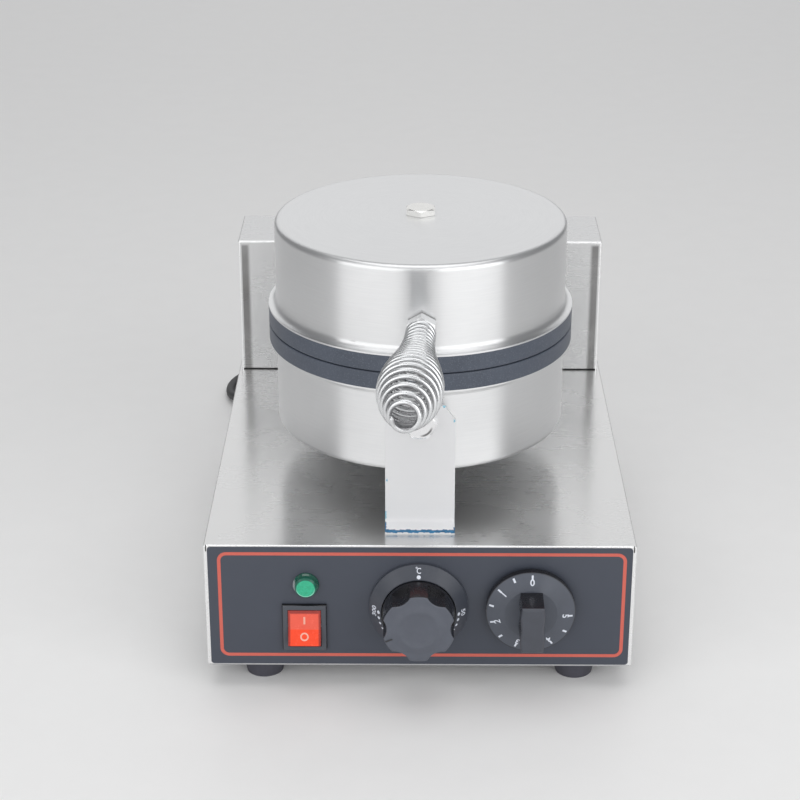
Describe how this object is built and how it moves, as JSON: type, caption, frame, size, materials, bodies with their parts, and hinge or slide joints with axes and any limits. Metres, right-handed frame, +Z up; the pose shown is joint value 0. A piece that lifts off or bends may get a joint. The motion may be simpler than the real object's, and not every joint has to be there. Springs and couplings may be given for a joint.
{
  "type": "waffle cone maker",
  "caption": "Electric waffle cone maker: boxy steel base with control dials, round hinged iron heads and a barrel-shaped coil handle.",
  "frame": {"origin": "centre of the footprint box without the mains lead, on the floor under the feet", "axes": "+X to the right seen from the control panel, +Y to the back, +Z up"},
  "size_m": [0.2775, 0.5994, 0.2583],
  "materials": {
    "brushed_stainless": "brushed stainless sheet",
    "bright_steel": "bright plated steel",
    "zinc_steel": "zinc-plated steel",
    "baking_plate": "dark non-stick coated casting",
    "heater_sheath": "oxidised heater sheath",
    "insulation": "mineral wool",
    "bronze": "sintered bronze",
    "panel_print": "dark printed film",
    "black_plastic": "black moulded plastic",
    "red_plastic": "red translucent plastic",
    "green_lens": "green translucent plastic",
    "white_plastic": "white moulded plastic",
    "foot_rubber": "black rubber",
    "cord_sheath": "black flexible sheath",
    "tie_plastic": "black strap",
    "pin_brass": "plain brass"
  },
  "bodies": {
    "base": {"base_shell": "brushed_stainless", "tower_shell": "brushed_stainless", "tower_back": "brushed_stainless", "lower_drum": "brushed_stainless", "front_bracket": "brushed_stainless", "rear_bracket": "brushed_stainless", "lower_bolt": "bright_steel", "front_bracket_bolt": "bright_steel", "rear_bracket_bolt": "bright_steel", "tower_screws": "bright_steel", "shaft_clips": "bright_steel", "bracket_spacers": "bright_steel", "bottom_plate": "zinc_steel", "bottom_screws": "zinc_steel", "foot_screws": "zinc_steel", "left_bearing": "zinc_steel", "right_bearing": "zinc_steel", "hinge_shaft": "zinc_steel", "lead_tube": "zinc_steel", "lower_clamp_plate": "zinc_steel", "rocker_pin": "zinc_steel", "lower_plate": "baking_plate", "lower_heater": "heater_sheath", "lower_insulation": "insulation", "panel_overlay": "panel_print", "thermostat_ring": "black_plastic", "switch_housing": "black_plastic", "cord_gland": "black_plastic", "plug_body": "black_plastic", "thermostat_body": "black_plastic", "timer_body": "black_plastic", "lamp_holder": "black_plastic", "lamp_lens": "green_lens", "terminal_block": "white_plastic", "rubber_feet": "foot_rubber", "cord_lead": "cord_sheath", "cord_coil": "cord_sheath", "cord_tail": "cord_sheath", "cord_tie": "tie_plastic", "plug_pins": "pin_brass"},
    "lid": {"upper_drum": "brushed_stainless", "upper_plate": "baking_plate", "upper_heater": "heater_sheath", "upper_clamp_plate": "zinc_steel", "upper_insulation": "insulation", "upper_bolt": "bright_steel", "hinge_arm": "zinc_steel", "arm_screws": "bright_steel", "hinge_bushes": "bronze", "handle_stud": "bright_steel", "handle_nut": "bright_steel", "handle_coil": "bright_steel"},
    "thermostat_dial": {"thermostat_knob": "black_plastic", "thermostat_spindle": "zinc_steel"},
    "timer_dial": {"timer_knob": "black_plastic", "timer_spindle": "zinc_steel"},
    "switch_rocker": {"power_rocker": "red_plastic"}
  },
  "joints": [
    {"name": "lid_hinge", "type": "hinge", "parent": "base", "child": "lid", "pos_m": [0, 0.1697, 0.179], "axis": [-1, 0, 0], "range_deg": [0, 95]},
    {"name": "thermostat_turn", "type": "hinge", "parent": "base", "child": "thermostat_dial", "pos_m": [-0.0006, -0.1128, 0.0558], "axis": [0, 1, 0], "range_deg": [0, 270]},
    {"name": "timer_turn", "type": "hinge", "parent": "base", "child": "timer_dial", "pos_m": [0.0644, -0.1128, 0.0558], "axis": [0, 1, 0], "range_deg": [0, 265]},
    {"name": "rocker_tip", "type": "hinge", "parent": "base", "child": "switch_rocker", "pos_m": [-0.0672, -0.1113, 0.042], "axis": [1, 0, 0], "range_deg": [0, 24]}
  ]
}
